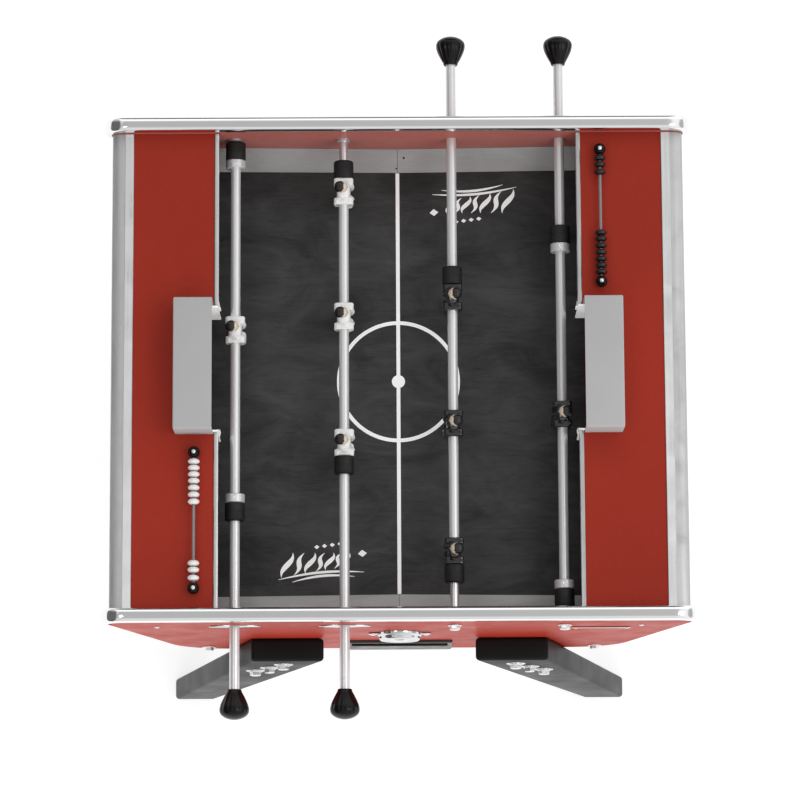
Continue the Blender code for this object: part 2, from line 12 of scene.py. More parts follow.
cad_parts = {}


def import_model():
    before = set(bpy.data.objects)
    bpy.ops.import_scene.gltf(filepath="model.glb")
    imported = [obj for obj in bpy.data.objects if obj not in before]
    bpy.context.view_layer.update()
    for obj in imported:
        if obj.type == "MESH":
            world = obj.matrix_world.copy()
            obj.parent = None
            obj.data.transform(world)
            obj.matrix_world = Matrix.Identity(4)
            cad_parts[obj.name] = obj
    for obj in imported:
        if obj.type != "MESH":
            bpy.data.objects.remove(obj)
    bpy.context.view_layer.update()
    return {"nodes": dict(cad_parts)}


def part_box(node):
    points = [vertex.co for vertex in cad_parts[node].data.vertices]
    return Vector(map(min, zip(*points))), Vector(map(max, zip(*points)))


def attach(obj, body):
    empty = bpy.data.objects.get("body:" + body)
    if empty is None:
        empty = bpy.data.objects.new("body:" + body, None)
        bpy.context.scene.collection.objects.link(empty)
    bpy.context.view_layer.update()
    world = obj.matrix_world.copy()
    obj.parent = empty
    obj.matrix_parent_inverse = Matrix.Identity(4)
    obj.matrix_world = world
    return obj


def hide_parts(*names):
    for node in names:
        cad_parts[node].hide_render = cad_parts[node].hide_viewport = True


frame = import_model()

# Places taken from the model
RAIL_LOW, RAIL_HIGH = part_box("top_rail_near")
PANEL_LOW, PANEL_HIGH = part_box("side_panel_near")
PITCH_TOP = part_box("playfield")[1].z
HOOD_LOW, HOOD_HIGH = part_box("goal_hood_right")
DECK_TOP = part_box("end_deck_right")[1].z
NOSE_LOW, NOSE_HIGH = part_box("end_nosing_right")
TRIM_LOW, TRIM_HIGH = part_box("goal_trim_right")
WALL_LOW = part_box("goal_wall_right")[0]
TRAY_LOW, TRAY_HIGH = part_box("ball_tray")
CUP_LOW, CUP_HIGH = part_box("service_cup")

PANEL_FACE = PANEL_LOW.y
INNER_WALL = -PANEL_HIGH.y
ROD_Z = 0.843
TUBE_R = 0.008
TUBE_BORE = 0.0074
BAR_R = 0.0070
COLLAR_R = 0.0158
BUMPER_R = 0.016
GAP = 0.0003
SCORER_X, SCORER_Z = 0.3235, 0.899
SCORER_POSTS = (0.136, 0.352)
# Middles of the spare and scored beads, left and right, in millimetres along Y
BEADS = (
    ((-150.9, -161.2, -171.5, -181.9, -192.8, -203.8, -214.8), (-312.4, -323.0, -335.7)),
    ((151.2, 161.7, 172.2, 183.0, 194.0, 205.0, 215.0), (337.2, 326.2, 314.2)),
)
SIDES = (("near", -1), ("far", 1))
ENDS = (("left", -1), ("right", 1))
SCREW_Z, BATTEN_Z, BOLT_Z = 0.838, 0.808, 0.538
LINE, CIRCLE_R, SPOT_R = 0.0060, 0.0966, 0.0106
PRINT_LOW, PRINT_HIGH = PITCH_TOP + 0.00003, PITCH_TOP + 0.00018

# One row for each rod: name, side of the handle, team, its players
TRIO = ("_far", "_middle", "_near")
RODS = (
    ("white_keeper", -1, "white", ("",)),
    ("white_attack", -1, "white", TRIO),
    ("black_attack", 1, "black", TRIO),
    ("black_keeper", 1, "black", ("",)),
)
ROD_X = {name: sum(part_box("rod_tube_" + name), Vector()).x / 2 for name, _, _, _ in RODS}


# Materials


def rgb(colour):
    """A colour as three numbers; a single number is a grey."""
    return colour if isinstance(colour, tuple) else (colour,) * 3


def fill(node, **values):
    """Sets a node's inputs; an underscore stands for the space in a socket's name."""
    for name, value in values.items():
        node.inputs[name.replace("_", " ")].default_value = value
    return node


def map_range(tree, value, start, end, low, high):
    node = fill(tree.nodes.new("ShaderNodeMapRange"), From_Min=start, From_Max=end, To_Min=low, To_Max=high)
    tree.links.new(value, node.inputs["Value"])
    return node


class Finish:
    """A procedural material: noise in object space drives its colour, roughness and bump."""

    def __init__(self, name, roughness, metallic=0.0, specular=0.5, coat=0.0):
        self.material = bpy.data.materials.new(name)
        self.material.use_nodes = True
        self.tree = self.material.node_tree
        self.shader = self.tree.nodes["Principled BSDF"]
        fill(self.shader, Roughness=roughness, Metallic=metallic, Specular_IOR_Level=specular)
        fill(self.shader, Coat_Weight=coat, Coat_Roughness=0.06)
        self.place = self.tree.nodes.new("ShaderNodeTexCoord").outputs["Object"]

    def link(self, output, node, socket):
        self.tree.links.new(output, node.inputs[socket])

    def noise(self, scale, stretch=(1.0, 1.0, 1.0), detail=4.0, rough=0.55, warp=0.0, at=(0.0, 0.0, 0.0)):
        mapping = fill(self.tree.nodes.new("ShaderNodeMapping"), Scale=stretch, Location=at)
        self.link(self.place, mapping, "Vector")
        noise = self.tree.nodes.new("ShaderNodeTexNoise")
        fill(noise, Scale=scale, Detail=detail, Roughness=rough, Distortion=warp)
        self.link(mapping.outputs["Vector"], noise, "Vector")
        return noise.outputs["Fac"]

    def ramp(self, value, *stops):
        ramp = self.tree.nodes.new("ShaderNodeValToRGB")
        elements = ramp.color_ramp.elements
        while len(elements) < len(stops):
            elements.new(0.5)
        for element, (place, colour) in zip(elements, stops):
            element.position = place
            element.color = (*rgb(colour), 1.0)
        self.link(value, ramp, "Fac")
        return ramp.outputs["Color"]

    def span(self, value, low, high, start=0.3, end=0.7):
        return map_range(self.tree, value, start, end, low, high).outputs["Result"]

    def mix(self, share, first, second, blend="MIX"):
        node = self.tree.nodes.new("ShaderNodeMix")
        node.data_type = "RGBA"
        node.blend_type = blend
        self.link(share, node, "Factor")
        for name, value in (("A", first), ("B", second)):
            socket = [s for s in node.inputs if s.name == name and s.type == "RGBA"][0]
            if isinstance(value, tuple):
                socket.default_value = (*value, 1.0)
            else:
                self.tree.links.new(value, socket)
        return [s for s in node.outputs if s.type == "RGBA"][0]

    def colour(self, value):
        self.link(value, self.shader, "Base Color")

    def glow(self, strength):
        fill(self.shader, Emission_Color=(1.0, 1.0, 1.0, 1.0), Emission_Strength=strength)

    def roughness(self, value):
        self.link(value, self.shader, "Roughness")

    def bump(self, height, strength, distance):
        node = fill(self.tree.nodes.new("ShaderNodeBump"), Strength=strength, Distance=distance)
        self.link(height, node, "Height")
        self.link(node.outputs["Normal"], self.shader, "Normal")


def shades(colour, spread):
    """The colour made darker and lighter by this share."""
    colour = rgb(colour)
    return tuple(c * (1 - spread) for c in colour), tuple(c * (1 + spread) for c in colour)


def plain(name, colour, roughness, spread=0.08, grain=90.0, pit=0.00003, glow=0.0, **more):
    """Moulded, painted or cast stock: faint mottling, fine grain and handled gloss; a glow, where given, is
    painted light.
    """
    made = Finish(name, roughness, **more)
    dark, light = shades(colour, spread)
    made.colour(made.ramp(made.noise(14.0, detail=5.0), (0.30, dark), (0.70, light)))
    made.roughness(made.span(made.noise(38.0, detail=3.0), roughness * 0.75, min(1.0, roughness * 1.3)))
    made.bump(made.noise(grain * 10, detail=3.0), 0.35, pit)
    made.glow(glow)
    return made.material


def metal(name, colour, roughness, along, line=0.000004, spread=0.05, metallic=1.0, rub=0.4):
    """Drawn or polished metal: fine lines along one direction, smudges and scratches."""
    made = Finish(name, roughness, metallic=metallic)
    dark, light = shades(colour, spread)
    made.colour(made.ramp(made.noise(9.0, detail=4.0, warp=0.5), (0.30, dark), (0.70, light)))
    lines = made.noise(260.0, stretch=along, detail=3.0)
    smudge = made.noise(16.0, detail=4.0, warp=0.8)
    joined = made.mix(made.span(smudge, 0.25, 0.75), lines, smudge)
    made.roughness(made.span(joined, roughness * (1 - rub), roughness * (1 + rub)))
    made.bump(lines, 0.15, line)
    return made.material


def laminate(name, painted_sheen):
    """Red satin laminate: pearl grain, faint fading and rubbed spots, plus a sheen of the given weight that
    paints a pale highlight at grazing angles.
    """
    made = Finish(name, 0.42, specular=0.12)
    # The sheen is painted highlight: a pale pinkish haze at grazing angles
    fill(made.shader, Sheen_Weight=painted_sheen, Sheen_Roughness=0.45, Sheen_Tint=(1.0, 0.62, 0.56, 1.0))
    broad = made.noise(3.2, detail=5.0, warp=0.4)
    base = made.ramp(broad, (0.28, (0.315, 0.0255, 0.0130)), (0.72, (0.358, 0.0298, 0.0155)))
    fine = made.noise(420.0, detail=2.0)
    speckle = made.span(fine, 0.0, 0.16, 0.52, 0.74)
    worn = made.mix(speckle, base, (0.46, 0.058, 0.034))
    rub = made.span(made.noise(9.0, detail=3.0), 0.0, 0.10, 0.58, 0.82)
    made.colour(made.mix(rub, worn, (0.44, 0.062, 0.040)))
    made.roughness(made.span(made.noise(19.0, detail=5.0), 0.34, 0.52))
    made.bump(made.noise(700.0, detail=2.0), 0.30, 0.00004)
    return made.material


def pitch_board():
    """Dark printed timber: long streaks and clouded patches along the table."""
    made = Finish("pitch_board", 0.60, specular=0.32)
    clouds = made.noise(8.0, stretch=(1.0, 1.9, 1.0), detail=7.0, rough=0.64, warp=0.9)
    mid, high = (0.0340, 0.0340, 0.0338), (0.0600, 0.0600, 0.0595)
    base = made.ramp(clouds, (0.30, 0.0160), (0.46, mid), (0.68, high))
    streaks = made.noise(26.0, stretch=(1.0, 9.0, 1.0), detail=8.0, rough=0.65, warp=0.35)
    dark = made.mix(made.span(streaks, 0.0, 0.60, 0.54, 0.80), base, (0.0120, 0.0120, 0.0122))
    pale = made.noise(34.0, stretch=(1.0, 11.0, 1.0), detail=6.0, rough=0.6, at=(3.0, 7.0, 1.0))
    made.colour(made.mix(made.span(pale, 0.0, 0.35, 0.55, 0.80), dark, (0.0640, 0.0640, 0.0630)))
    made.roughness(made.span(streaks, 0.50, 0.72))
    made.bump(made.noise(150.0, stretch=(1.0, 8.0, 1.0), detail=4.0), 0.25, 0.00008)
    return made.material


def ramp_board():
    """Grey ramp stock with faint brushed streaks along the table."""
    made = Finish("ramp_board", 0.5, specular=0.35)
    clouds = made.noise(10.0, stretch=(1.0, 3.0, 1.0), detail=6.0, warp=0.6)
    base = made.ramp(clouds, (0.28, (0.345, 0.345, 0.342)), (0.72, (0.445, 0.445, 0.442)))
    streaks = made.noise(60.0, stretch=(1.0, 12.0, 6.0), detail=5.0)
    made.colour(made.mix(made.span(streaks, 0.0, 0.35, 0.5, 0.8), base, (0.270, 0.270, 0.268)))
    made.roughness(made.span(clouds, 0.42, 0.60))
    made.bump(streaks, 0.2, 0.00005)
    return made.material


def leg_lacquer():
    """Dark lacquer with an orange-peel skin, scuffed paler here and there."""
    made = Finish("leg_lacquer", 0.42, specular=0.08)
    low, high = (0.0100, 0.0100, 0.0103), (0.0130, 0.0130, 0.0132)
    base = made.ramp(made.noise(5.0, detail=3.0), (0.3, low), (0.7, high))
    scuff = made.noise(16.0, detail=4.0, rough=0.6)
    made.colour(made.mix(made.span(scuff, 0.0, 0.10, 0.58, 0.80), base, (0.040,) * 3))
    made.roughness(made.span(made.noise(12.0, detail=3.0), 0.34, 0.46))
    made.bump(made.noise(260.0, detail=1.0), 0.15, 0.00003)
    return made.material


ALONG_X = (0.02, 1.0, 1.0)
ALONG_Y = (1.0, 0.02, 1.0)
ROUND_Z = (1.0, 1.0, 0.02)

RED = laminate("red_laminate", 0.0)
# A copy of the laminate with a strong sheen: painted highlight that makes the far panel's inside face paler
RED_PAINTED_SHEEN = laminate("red_laminate_painted_sheen", 0.60)
PITCH = pitch_board()
RAMP = ramp_board()
LEG = leg_lacquer()
CHROME_X = metal("chrome_along_x", (0.86, 0.86, 0.865), 0.09, ALONG_X, 0.0000003, 0.01, rub=0.2)
CHROME = metal("chrome_turned", (0.70, 0.705, 0.71), 0.10, ROUND_Z, spread=0.03)
ALUMINIUM = metal("satin_aluminium", (0.85, 0.855, 0.86), 0.34, ALONG_Y, 0.000003, 0.02)
# A darker copy of the satin aluminium for the nosings' outer bead: painted shade on its rounded outer face
SHADED_ALUMINIUM = metal("satin_aluminium_shaded", (0.58, 0.58, 0.585), 0.58, ALONG_Y, 0.000003, 0.02)
TRIM = metal("satin_trim", (0.64, 0.635, 0.63), 0.34, ALONG_Y, 0.000003, 0.02)
TUBE = metal("drawn_tube", (0.82, 0.825, 0.835), 0.24, ALONG_Y, 0.0000002, 0.008, 0.45, 0.10)
COLLAR = metal("satin_collar", (0.74, 0.74, 0.75), 0.34, ROUND_Z, spread=0.04, metallic=0.4)
STEEL = metal("bright_steel", (0.80, 0.80, 0.81), 0.30, ROUND_Z, metallic=0.8)
WIRE = metal("drawn_wire", 0.25, 0.50, ROUND_Z, line=0.00001, metallic=0.3)
HOOD = plain("hood_paint", 0.458, 0.45, spread=0.02, specular=0.2)
# Its glow is painted light that brightens the pale cheeks, which are no lamp
GLOWING_CHEEK = plain("cheek_plastic_glowing", 0.88, 0.30, spread=0.03, glow=0.32)
BOARD = plain("dark_board", (0.028, 0.027, 0.026), 0.65, spread=0.35, pit=0.00012, specular=0.3)
BLACK = plain("black_moulding", (0.0045, 0.0045, 0.0047), 0.20, spread=0.20, specular=0.2)
TRAY = plain("tray_moulding", (0.0110, 0.0095, 0.0085), 0.34, spread=0.25, pit=0.00006)
RUBBER = plain("rubber", (0.0125, 0.0125, 0.0128), 0.58, spread=0.22, pit=0.00010, specular=0.35)
WHITE_TEAM = plain("white_figure", (0.90, 0.90, 0.89), 0.16, spread=0.03, coat=0.25)
BLACK_TEAM = plain("black_figure", (0.0090, 0.0090, 0.0095), 0.14, spread=0.25, coat=1.0)
WHITE_BEAD = plain("white_bead", (0.84, 0.84, 0.83), 0.22, spread=0.03)
BLACK_BEAD = plain("black_bead", 0.0085, 0.24, spread=0.2)
HAIR = plain("hair_paint", (0.0090, 0.0086, 0.0082), 0.34, spread=0.3, pit=0.00008)
SKIN = plain("skin_paint", (0.66, 0.55, 0.43), 0.30, spread=0.08, coat=0.4)
EYE = plain("eye_paint", (0.015, 0.012, 0.010), 0.3)
# Its glow is painted light that brightens the printed lines and ornaments
GLOWING_INK = plain("white_ink_glowing", (0.95, 0.95, 0.94), 0.5, spread=0.04, pit=0.00002, glow=0.14)
SEAM = plain("seam_filler", 0.10, 0.6)

TEAM = {"white": WHITE_TEAM, "black": BLACK_TEAM}


# Mesh helpers


def mm(*rows):
    """Rows given in millimetres, as tuples in metres."""
    return [tuple(value / 1000 for value in row) for row in rows]


def round_edges(bm, edges, rounding, segments):
    bmesh.ops.bevel(bm, geom=edges, offset=rounding, segments=segments, profile=0.5, affect="EDGES")


def circle(radius, count):
    angles = [math.tau * i / count for i in range(count)]
    return [(radius * math.cos(a), radius * math.sin(a)) for a in angles]


class Shape:
    """Geometry gathered for one piece, shell by shell."""

    def __init__(self):
        self.bm = bmesh.new()

    def take(self, made, matrix=None, index=0):
        """Adds a finished shell, moved by the matrix, with this material index."""
        bmesh.ops.recalc_face_normals(made, faces=made.faces)
        if matrix is not None:
            made.transform(matrix)
            if matrix.determinant() < 0:
                bmesh.ops.reverse_faces(made, faces=made.faces)
        for face in made.faces:
            face.material_index = index
        mesh = bpy.data.meshes.new("shell")
        made.to_mesh(mesh)
        made.free()
        self.bm.from_mesh(mesh)
        bpy.data.meshes.remove(mesh)
        return self

    def loft(self, rings, matrix=None, index=0, closed=False):
        """Skins rings of points, all of the same length. A ring of one point is a pole."""
        bm = bmesh.new()
        made = [[bm.verts.new(point) for point in ring] for ring in rings]
        pairs = list(zip(made, made[1:]))
        if closed:
            pairs.append((made[-1], made[0]))
        for ring, following in pairs:
            count = max(len(ring), len(following))
            for i in range(count):
                j = (i + 1) % count
                if len(ring) == 1:
                    bm.faces.new((ring[0], following[i], following[j]))
                elif len(following) == 1:
                    bm.faces.new((ring[i], ring[j], following[0]))
                else:
                    bm.faces.new((ring[i], ring[j], following[j], following[i]))
        if not closed:
            for ring in (made[0], made[-1]):
                if len(ring) > 2:
                    bm.faces.new(ring)
        return self.take(bm, matrix, index)

    def turned(self, profile, steps=40, matrix=None, index=0, closed=False, shape=None):
        """Turns (radius, height) points about local Z. shape(angle, height) scales the radius."""
        rings = []
        for radius, height in profile:
            if radius < 1e-7:
                rings.append([(0.0, 0.0, height)])
                continue
            ring = []
            for i in range(steps):
                angle = math.tau * i / steps
                r = radius * (shape(angle, height) if shape else 1.0)
                ring.append((r * math.cos(angle), r * math.sin(angle), height))
            rings.append(ring)
        return self.loft(rings, matrix, index, closed)

    def block(self, low, high, rounding=0.0, segments=3, matrix=None, index=0):
        """A box between two corners, with rounded edges."""
        bm = bmesh.new()
        bmesh.ops.create_cube(bm, size=1.0)
        size = [b - a for a, b in zip(low, high)]
        middle = [(a + b) / 2 for a, b in zip(low, high)]
        bmesh.ops.transform(bm, matrix=Matrix.LocRotScale(middle, None, size), verts=bm.verts)
        if rounding:
            round_edges(bm, bm.edges[:], rounding, segments)
        return self.take(bm, matrix, index)

    def plate(self, outline, bottom, top, rounding=0.0, segments=3, matrix=None, index=0):
        """A flat outline in local X and Y, between two heights, with rounded rims."""
        bm = bmesh.new()
        low = [bm.verts.new((x, y, bottom)) for x, y in outline]
        high = [bm.verts.new((x, y, top)) for x, y in outline]
        bm.faces.new(low)
        bm.faces.new(high)
        for i in range(len(outline)):
            j = (i + 1) % len(outline)
            bm.faces.new((low[i], low[j], high[j], high[i]))
        bmesh.ops.recalc_face_normals(bm, faces=bm.faces)
        if rounding:
            rims = [e for e in bm.edges if e.calc_face_angle(0.0) > math.radians(35)]
            round_edges(bm, rims, rounding, segments)
        return self.take(bm, matrix, index)

    def hex_head(self, size, height, matrix):
        """A hexagon head with a chamfered crown; size is across the corners."""
        ring = circle(size / 2, 6)
        rings = []
        for share, rise in ((1.0, 0.0), (1.0, 0.78), (0.93, 0.94), (0.80, 1.0), (0.30, 1.0)):
            rings.append([(x * share, y * share, height * rise) for x, y in ring])
        rings.append([(0.0, 0.0, height * 0.98)])
        return self.loft(rings, matrix)

    def washer(self, inner, outer, thick, matrix):
        edge = thick * 0.3
        profile = [(inner, 0.0), (outer, 0.0), (outer, thick - edge), (outer - edge, thick), (inner, thick)]
        return self.turned(profile, 36, matrix, closed=True)


def new_object(name, data):
    obj = bpy.data.objects.new(name, data)
    bpy.context.scene.collection.objects.link(obj)
    return obj


def put(name, shape, materials, node=None, body="cabinet", at=None, sharp=32):
    """Makes the piece, sets its finish and hands it to its body, in place of the CAD node if given."""
    mesh = bpy.data.meshes.new(name)
    shape.bm.to_mesh(mesh)
    shape.bm.free()
    mesh.shade_smooth()
    mesh.set_sharp_from_angle(angle=math.radians(sharp))
    for material in materials if isinstance(materials, tuple) else (materials,):
        mesh.materials.append(material)
    obj = new_object(name, mesh)
    if at is not None:
        obj.matrix_world = at
    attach(obj, body)
    if node:
        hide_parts(node)


def move(x, y, z):
    return Matrix.Translation((x, y, z))


def turn(axis, degrees):
    return Matrix.Rotation(math.radians(degrees), 4, axis)


def facing(x, y, z, side):
    """Local +Z points out of the panel on this side of the table (-1 near, +1 far)."""
    return move(x, y, z) @ turn("X", -90 * side)


def oval(z, half_x, half_y, power=2.0, count=28, x=0.0, y=0.0):
    """A superellipse ring at height z; a higher power is squarer."""
    ring = []
    for i in range(count):
        angle = math.tau * i / count
        c, s = math.cos(angle), math.sin(angle)
        px = math.copysign(abs(c) ** (2 / power), c) * half_x
        py = math.copysign(abs(s) ** (2 / power), s) * half_y
        ring.append((x + px, y + py, z))
    return ring


def ovals(count, *rows):
    """Ovals from rows of a power, then height, half sizes and middle x and y in millimetres."""
    rings = []
    for power, *sizes in rows:
        z, half_x, half_y, *middle = mm(sizes)[0]
        rings.append(oval(z, half_x, half_y, power, count, *middle))
    return rings


def arc(cx, cy, radius, start, end, count):
    angles = [math.radians(start + (end - start) * i / count) for i in range(count + 1)]
    return [(cx + radius * math.cos(a), cy + radius * math.sin(a)) for a in angles]


# Cabinet


def paint(finish, *nodes):
    """Gives CAD nodes that keep their own shape a finished material."""
    for name in nodes:
        for entry in frame["nodes"][name].material_slots:
            entry.material = finish


def cabinet_finishes():
    paint(RED, "side_panel_near", "end_panel_left", "end_deck_left", "end_panel_right", "end_deck_right")
    # The far panel takes the laminate copy with the painted sheen highlight
    paint(RED_PAINTED_SHEEN, "side_panel_far")
    paint(RAMP, "side_ramp_near", "side_ramp_far")
    paint(BOARD, "goal_wall_left", "goal_wall_right", "cabinet_floor")
    paint(PITCH, "playfield")


def rail(place, side):
    """A polished rail, flat in the middle, that bends down round the panel's slanted ends."""
    half = RAIL_HIGH.x
    half_y = (RAIL_HIGH.y - RAIL_LOW.y) / 2
    top, low, foot = RAIL_HIGH.z, PANEL_HIGH.z + 0.0004, RAIL_LOW.z
    radius = 0.0380
    depth = top - low
    path = [(0.0, top, 0.0, low, 0.98), (half - radius - 0.004, top, half - radius - 0.004, low, 0.98)]
    for i in range(17):
        angle = 90 - 107 * i / 16
        thick = depth - 0.0060 * min(1.0, i / 9)
        a = math.radians(angle)
        x, z = half - radius + radius * math.cos(a), top - radius + radius * math.sin(a)
        path.append((x, z, x - thick * math.cos(a), z - thick * math.sin(a), 0.98 + 0.05 * min(1.0, i / 8)))
    x0, z0 = path[-1][:2]
    steps = ((0.35, 1.02, 0.0), (0.70, 0.97, 0.0006), (0.90, 0.86, 0.0016), (1.0, 0.66, 0.0034))
    for share, slim, thin in steps:
        z = z0 + (foot + 0.0004 - z0) * share
        x = x0 - (z0 - z) * 0.31 - thin
        path.append((x, z, x - 0.0115 + 2 * thin, z + 0.0030, slim))
    made = []
    for x, z, a, b, wide in path:
        ring = []
        for i in range(48):
            c, s = math.cos(math.tau * i / 48), math.sin(math.tau * i / 48)
            power = 2.6 if s >= 0 else 7.0
            y = math.copysign(abs(c) ** (2 / power), c) * half_y * wide
            share = (1 + math.copysign(abs(s) ** (2 / power), s)) / 2
            ring.append((a + (x - a) * share, y, b + (z - b) * share))
        made.append(ring)
    mirrored = [[(-x, y, z) for x, y, z in ring] for ring in made[:0:-1]]
    shape = Shape().loft(mirrored + made)
    y = side * (PANEL_HIGH.y + PANEL_LOW.y) / -2
    put("rail_" + place, shape, CHROME_X, "top_rail_" + place, at=move(0, y, 0), sharp=50)


def nosing(place, side):
    """The rounded extrusion along an end: a flat inner land, a groove and a round outer bead."""
    inner, outer, low, top = NOSE_LOW.x, NOSE_HIGH.x, NOSE_LOW.z, NOSE_HIGH.z
    outline = [(inner, low)]
    for out, down in mm(
        (0, 0.6), (0.6, 0), (13.6, 0), (14, 0.3), (15, 0.4), (15.8, 0.4), (16.8, 0.5), (20, 0.6),
        (24, 1.2), (27.5, 2.4), (30.2, 3.6),
    ):
        outline.append((inner + out, top - down))
    outline += arc(outer - 0.0050, top - 0.0090, 0.0050, 66, 0, 8)
    outline += [(outer, low)]
    rings = []
    for y in (NOSE_LOW.y, NOSE_HIGH.y):
        rings.append([(side * x, y, z) for x, z in outline])
    shape = Shape().loft(rings)
    # Faces beyond the groove take the darker aluminium copy: painted shade on the outer bead
    for face in shape.bm.faces:
        face.material_index = 1 if abs(face.calc_center_median().x) > inner + 0.0141 else 0
    put("nosing_" + place, shape, (ALUMINIUM, SHADED_ALUMINIUM), "end_nosing_" + place, sharp=24)


def hood(place, side):
    """A pressed goal hood, open below and towards the pitch."""
    x0, x1 = HOOD_LOW.x, HOOD_HIGH.x
    half, low, top = HOOD_HIGH.y, HOOD_LOW.z, HOOD_HIGH.z
    wall, edge = 0.003, 0.0022
    bm = bmesh.new()

    def section(x, inset):
        r = edge
        h, t = half - inset, top - inset
        ring = [(x, -h, low)]
        ring += [(x, y, z) for y, z in arc(-h + r, t - r, r, 180, 90, 5)]
        ring += [(x, y, z) for y, z in arc(h - r, t - r, r, 90, 0, 5)]
        return ring + [(x, h, low)]

    outer = [section(x0, 0.0), section(x1 - edge, 0.0)]
    for i in range(1, 5):
        a = math.radians(90 * i / 4)
        outer.append(section(x1 - edge + edge * math.sin(a), edge * (1 - math.cos(a))))
    inner = [section(x0, wall), section(x1 - wall, wall)]
    skins = []
    for rings in (outer, inner):
        made = [[bm.verts.new(p) for p in ring] for ring in rings]
        for ring, following in zip(made, made[1:]):
            for i in range(len(ring) - 1):
                bm.faces.new((ring[i], ring[i + 1], following[i + 1], following[i]))
        bm.faces.new(made[-1])
        skins.append(made)
    out, ins = skins
    for i in range(len(out[0]) - 1):
        bm.faces.new((out[0][i], ins[0][i], ins[0][i + 1], out[0][i + 1]))
    for end in (0, -1):
        rim_out = [ring[end] for ring in out]
        rim_in = [ring[end] for ring in ins]
        bm.faces.new(rim_out + rim_in[::-1])
    bm.faces.new((out[-1][0], out[-1][-1], ins[-1][-1], ins[-1][0]))
    shape = Shape().take(bm, Matrix.Diagonal((side, 1.0, 1.0, 1.0)))
    put("hood_" + place, shape, HOOD, "goal_hood_" + place, sharp=30)


def goal_surround(place, side):
    """The satin strips on the deck's inner edge and the pale cheeks and sill of the goal mouth."""
    x0, x1, low, top = TRIM_LOW.x, TRIM_HIGH.x, TRIM_LOW.z, TRIM_HIGH.z
    strip_out, h = 0.2928, NOSE_HIGH.z
    mirror = Matrix.Diagonal((side, 1.0, 1.0, 1.0))
    strips, cheeks, sills = Shape(), Shape(), Shape()
    face = x0 + 0.0008
    path = [(NOSE_HIGH.y, 0.0)]
    path += mm((128, 0), (118, 0), (110, -0.2), (105.5, -0.9), (101.8, -2.1), (99, -2.6))
    for end in (-1, 1):
        rings = []
        for y, drift in path:
            a, b = x0 + drift, strip_out + drift * 0.6
            ring = [(a, h - 0.0085), (a, h - 0.0016), (a + 0.0005, h - 0.0005), (a + 0.0016, h)]
            ring += [(b - 0.0012, h), (b, h - 0.0008), (b, h - 0.0085)]
            rings.append([(x, end * y, z) for x, z in ring])
        strips.loft(rings, mirror)
        y0, y1 = sorted((end * 0.0986, end * 0.1016))
        cheeks.block((face, y0, 0.7872), (x1, y1, top - 0.0002), 0.0009, 3, mirror)
        fold = [(x0 - 0.0030, end * 0.0980), (x0 + 0.0024, end * 0.0978), (x0 + 0.0030, end * 0.1012)]
        fold += [(x0 + 0.0004, end * 0.1100), (x0 - 0.0012, end * 0.1060)]
        cheeks.plate(fold, top - 0.030, top - 0.0030, 0.0009, 2, mirror)
        sills.block((WALL_LOW.x, y0, low), (x1, y1, 0.7905), 0.0006, 2, mirror)
    sills.block((WALL_LOW.x, -0.1010, low), (x1, 0.1010, low + 0.0062), 0.0010, 2, mirror)
    put("trim_strips_" + place, strips, TRIM, "goal_trim_" + place, sharp=30)
    # The cheeks' finish glows: painted light
    put("goal_cheeks_" + place, cheeks, GLOWING_CHEEK, sharp=30)
    put("goal_sill_" + place, sills, RED, sharp=30)


def leg(row, column):
    """A splayed board leg with rounded edges."""
    name = f"leg_{row}_{column}"
    low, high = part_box(name)
    side_x = -1 if column == "left" else 1
    outline = [(0.1222, high.z), (0.2410, high.z), (0.4040, 0.0), (0.3323, 0.0)]
    stand = Matrix(((side_x, 0, 0, 0), (0, 0, 1, 0), (0, 1, 0, 0), (0, 0, 0, 1)))
    shape = Shape().plate(outline, low.y, high.y, 0.0062, 5, stand)
    put("board_" + name, shape, LEG, name, sharp=40)
    face = low.y if row == "near" else high.y
    side = -1 if row == "near" else 1
    bolts = Shape()
    for x, z in ((0.1905, 0.616), (0.2150, 0.567), (0.2400, 0.520)):
        seat = facing(side_x * x, face, z, side)
        bolts.washer(0.0040, 0.0160, 0.0014, seat)
        bolts.washer(0.0040, 0.0112, 0.0020, seat @ move(0, 0, 0.0014))
        bolts.hex_head(0.0185, 0.0062, seat @ move(0, 0, 0.0034) @ turn("Z", 17 + 900 * x))
    put("bolts_" + name, bolts, STEEL, sharp=28)


# Pitch


def pitch_print():
    """The white lines, circle and spot, printed in a thin film on the pitch."""
    low, high = PRINT_LOW, PRINT_HIGH
    shape = Shape()
    for end in (-1, 1):
        y0, y1 = sorted((end * 0.0104, end * 0.3462))
        shape.block((-LINE / 2, y0, low), (LINE / 2, y1, high))
    over = high + 0.00006
    inner, outer = CIRCLE_R - LINE / 2, CIRCLE_R + LINE / 2
    shape.turned([(inner, low), (outer, low), (outer, over), (inner, over)], 128, closed=True)
    shape.turned([(0.0, low), (SPOT_R, low), (SPOT_R, over), (0.0, over)], 40)
    # The printed lines glow: painted light
    put("pitch_lines", shape, GLOWING_INK, sharp=30)


def stroke(path, widths, low, high):
    """The two edges of a flat stroke along a path."""
    left, right = [], []
    for i, (point, width) in enumerate(zip(path, widths)):
        before = path[max(0, i - 1)]
        after = path[min(len(path) - 1, i + 1)]
        dx, dy = after[0] - before[0], after[1] - before[1]
        size = math.hypot(dx, dy) or 1.0
        nx, ny = -dy / size * width / 2, dx / size * width / 2
        left.append((point[0] + nx, point[1] + ny))
        right.append((point[0] - nx, point[1] - ny))
    rings = []
    for a, b in zip(left, right):
        rings.append([(a[0], a[1], low), (b[0], b[1], low), (b[0], b[1], high), (a[0], a[1], high)])
    return rings


